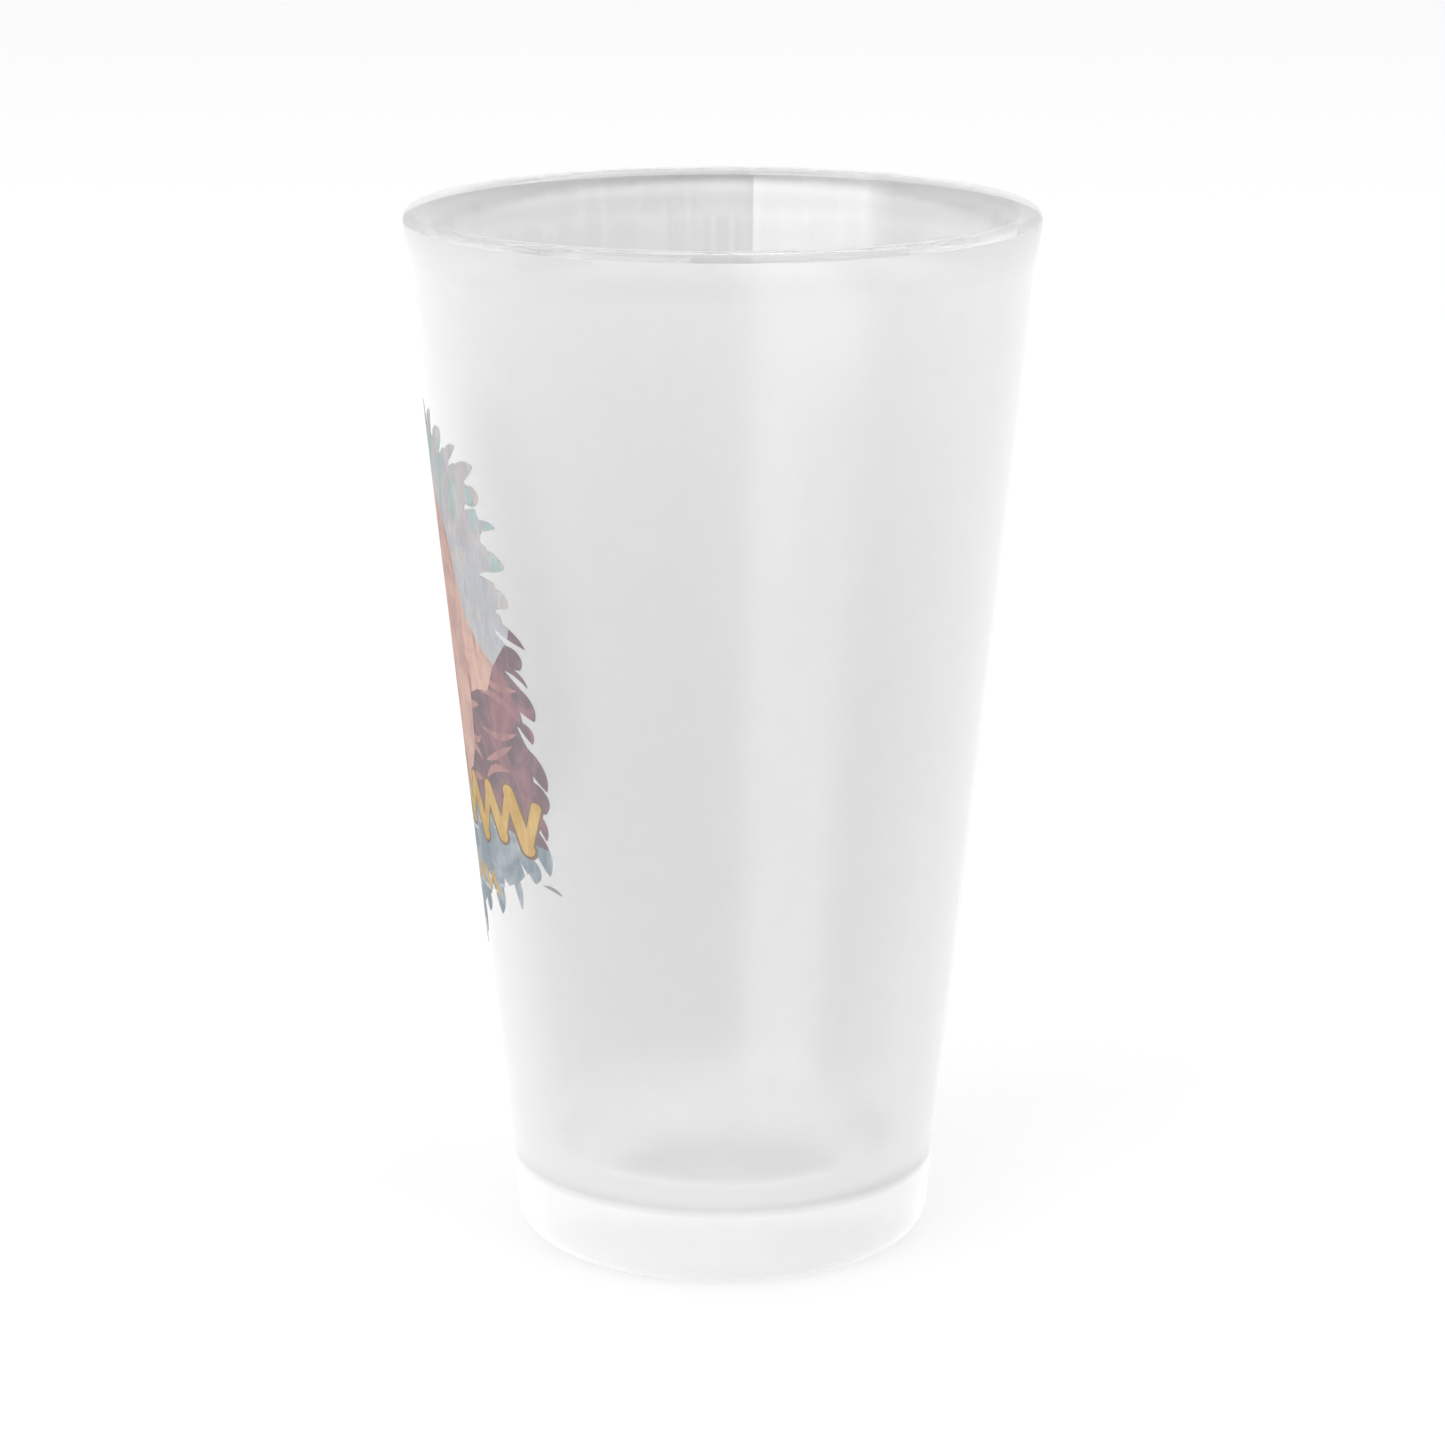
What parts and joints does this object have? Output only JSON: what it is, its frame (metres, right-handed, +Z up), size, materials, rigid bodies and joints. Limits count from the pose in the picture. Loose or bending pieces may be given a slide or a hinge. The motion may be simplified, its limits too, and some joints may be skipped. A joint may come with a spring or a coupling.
{
  "type": "pint glass",
  "caption": "Tapered frosted pint glass with a thick base, a clear polished lip and a torn-edged landscape print on one side.",
  "frame": {"origin": "centre of the foot on the table plane", "axes": "+Z up along the glass's axis, -Y towards the front that the print faces, +X to the right of the print"},
  "size_m": [0.0892, 0.0892, 0.149],
  "materials": {
    "clear_glass": "fire-polished",
    "satin_coat": "satin frost",
    "ink_sky": "matte ink",
    "ink_teal": "matte ink",
    "ink_pink": "matte ink",
    "ink_peach": "matte ink",
    "ink_clay": "matte ink",
    "ink_maroon": "matte ink",
    "ink_salmon": "matte ink",
    "ink_blue": "matte ink",
    "ink_pale_blue": "matte ink",
    "ink_amber": "matte ink",
    "ink_umber": "matte ink",
    "ink_slate": "matte ink"
  },
  "bodies": {
    "root": {"glass_body": "clear_glass", "frost_coat": "satin_coat", "print_sky": "ink_sky", "print_teal_strokes": "ink_teal", "print_pink_strokes": "ink_pink", "print_cliff": "ink_peach", "print_cliff_streaks": "ink_clay", "print_rocks": "ink_maroon", "print_rock_ledges": "ink_salmon", "print_river": "ink_blue", "print_ripples": "ink_pale_blue", "print_ribbon": "ink_amber", "print_ribbon_shade": "ink_umber", "print_flecks": "ink_slate"}
  },
  "joints": []
}
